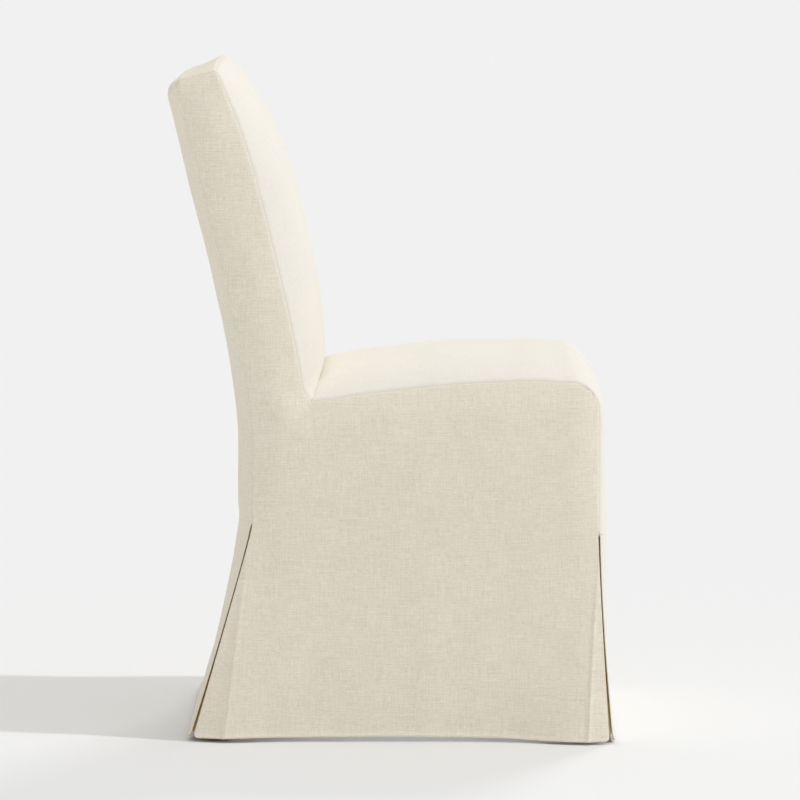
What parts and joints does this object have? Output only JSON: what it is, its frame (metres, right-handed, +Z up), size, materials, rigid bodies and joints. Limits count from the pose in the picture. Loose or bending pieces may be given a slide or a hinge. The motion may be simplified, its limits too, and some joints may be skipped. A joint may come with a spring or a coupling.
{
  "type": "parsons chair",
  "caption": "Armless upright dining chair: crowned seat and leaning back on a wooden frame, under a floor-length linen-weave slipcover with a kick pleat at each corner.",
  "frame": {"origin": "on the floor, under the middle of the whole chair", "axes": "+Z up, -Y the way the sitter faces, +X the sitter's left"},
  "size_m": [0.56, 0.6384, 0.975],
  "materials": {
    "batting": "matte fleece",
    "beech": "sawn and planed, unfinished",
    "cambric": "matte non-woven",
    "felt": "matte needled felt",
    "foam": "matte open cell",
    "linen": "matte slubbed plain weave",
    "lining": "matte plain weave",
    "nylon": "moulded, satin",
    "steel": "drawn wire, bright",
    "webbing": "matte ribbed webbing"
  },
  "bodies": {
    "root": {"back_foam": "foam", "back_strap_1": "webbing", "back_strap_2": "webbing", "back_strap_3": "webbing", "crest_rail": "beech", "deck_felt": "felt", "dust_cover": "cambric", "front_batting": "batting", "front_block_rail_screw_left": "steel", "front_block_rail_screw_right": "steel", "front_block_side_screw_left": "steel", "front_block_side_screw_right": "steel", "front_corner_block_left": "beech", "front_corner_block_right": "beech", "front_glide_left": "nylon", "front_glide_right": "nylon", "front_leg_left": "beech", "front_leg_right": "beech", "front_pleat_underlay_left": "lining", "front_pleat_underlay_right": "lining", "front_rail": "beech", "front_spring_clip_1": "steel", "front_spring_clip_2": "steel", "front_spring_clip_3": "steel", "front_spring_clip_4": "steel", "lower_back_rail": "beech", "outside_back_batting": "batting", "rear_block_rail_screw_left": "steel", "rear_block_rail_screw_right": "steel", "rear_block_side_screw_left": "steel", "rear_block_side_screw_right": "steel", "rear_corner_block_left": "beech", "rear_corner_block_right": "beech", "rear_glide_left": "nylon", "rear_glide_right": "nylon", "rear_pleat_underlay_left": "lining", "rear_pleat_underlay_right": "lining", "rear_post_left": "beech", "rear_post_right": "beech", "rear_rail": "beech", "rear_spring_clip_1": "steel", "rear_spring_clip_2": "steel", "rear_spring_clip_3": "steel", "rear_spring_clip_4": "steel", "seat_foam": "foam", "seat_spring_1": "steel", "seat_spring_2": "steel", "seat_spring_3": "steel", "seat_spring_4": "steel", "side_batting_left": "batting", "side_batting_right": "batting", "side_rail_left": "beech", "side_rail_right": "beech", "slipcover_inside_back": "linen", "slipcover_outside_back": "linen", "slipcover_seat_front": "linen", "slipcover_side_left": "linen", "slipcover_side_right": "linen", "top_pad": "foam"}
  },
  "joints": []
}
